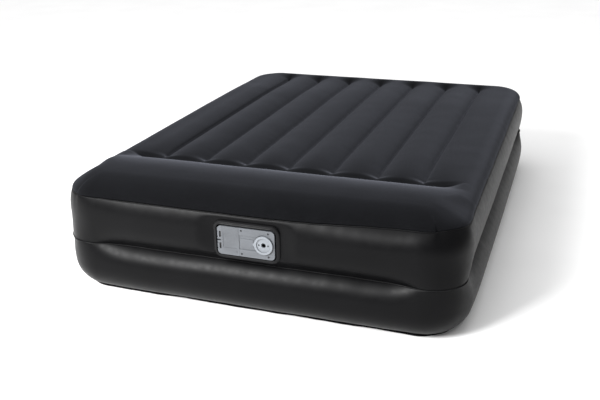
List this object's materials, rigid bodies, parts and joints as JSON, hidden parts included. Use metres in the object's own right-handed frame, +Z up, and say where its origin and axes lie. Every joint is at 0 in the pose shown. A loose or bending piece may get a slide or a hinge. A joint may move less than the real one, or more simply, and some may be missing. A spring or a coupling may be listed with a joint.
{
  "type": "raised air mattress",
  "caption": "Raised two-tier air mattress with long flocked channels, a raised pillow at the head, bulging side walls and a pump set into the head wall.",
  "frame": {"origin": "on the floor, centred under the mattress", "axes": "+X to the right seen from the head end, +Y from the pump and pillow end to the foot end, +Z up"},
  "size_m": [1.5194, 2.03, 0.446],
  "materials": {
    "flock": "short flocked pile, dark charcoal",
    "wall_pvc": "satin coated vinyl, near black",
    "base_pvc": "matt vinyl, near black",
    "beam_film": "plain vinyl film",
    "face_abs": "fine textured mid grey",
    "knob_abs": "light grey, smooth",
    "inner_abs": "moulded dark grey",
    "housing_abs": "moulded black",
    "nylon": "natural white",
    "black_rubber": "soft black",
    "black_steel": "blackened screws",
    "bright_steel": "zinc plated",
    "copper_iron": "copper windings on an iron core",
    "bronze": "sintered bronze",
    "switch_black": "moulded black",
    "switch_red": "moulded red"
  },
  "bodies": {
    "mattress": {"top_sheet": "flock", "upper_side_wall": "wall_pvc", "mid_sheet": "wall_pvc", "lower_side_wall": "wall_pvc", "base_sheet": "base_pvc", "channel_beams": "beam_film", "pillow_beam": "beam_film", "lower_beams": "beam_film", "pump_collar": "wall_pvc", "pump_bezel": "face_abs", "bezel_gasket": "black_rubber", "bezel_screws": "black_steel", "hinge_pins": "bright_steel", "cord_tub": "inner_abs", "cord_gland": "black_rubber", "pump_housing": "housing_abs", "valve_sleeve": "inner_abs", "microswitch": "switch_black", "motor_can": "bright_steel", "motor_bearings": "bronze", "motor_rubber_rings": "black_rubber", "motor_cradle": "inner_abs", "blower_volute": "inner_abs", "outlet_duct": "inner_abs", "outlet_valve_cage": "inner_abs", "poppet_spring": "bright_steel"},
    "door": {"compartment_door": "face_abs"},
    "selector": {"selector_knob": "knob_abs", "knob_screws": "black_steel", "valve_spool": "nylon", "port_filter": "inner_abs"},
    "rotor": {"motor_rotor": "copper_iron", "impeller": "nylon"},
    "poppet": {"valve_poppet": "nylon", "poppet_seal": "black_rubber"},
    "button": {"switch_button": "switch_red"}
  },
  "joints": [
    {"name": "door_hinge", "type": "hinge", "parent": "mattress", "child": "door", "pos_m": [-0.0894, -1.006, 0.284], "axis": [0, 0, -1], "range_deg": [0, 105]},
    {"name": "selector_turn", "type": "hinge", "parent": "mattress", "child": "selector", "pos_m": [0.0765, -1.009, 0.284], "axis": [0, -1, 0], "range_deg": [-90, 90]},
    {"name": "rotor_spin", "type": "hinge", "parent": "mattress", "child": "rotor", "pos_m": [-0.019, -0.917, 0.284], "axis": [1, 0, 0], "continuous": true},
    {"name": "poppet_slide", "type": "slide", "parent": "mattress", "child": "poppet", "axis": [0, 1, 0], "range_m": [0, 0.007], "stiffness_N_per_m": 20, "springref_m": -0.004, "deforming": ["poppet_spring"]},
    {"name": "button_press", "type": "slide", "parent": "mattress", "child": "button", "axis": [0, 0, 1], "range_m": [0, 0.0012], "stiffness_N_per_m": 300, "springref_m": -0.002}
  ]
}
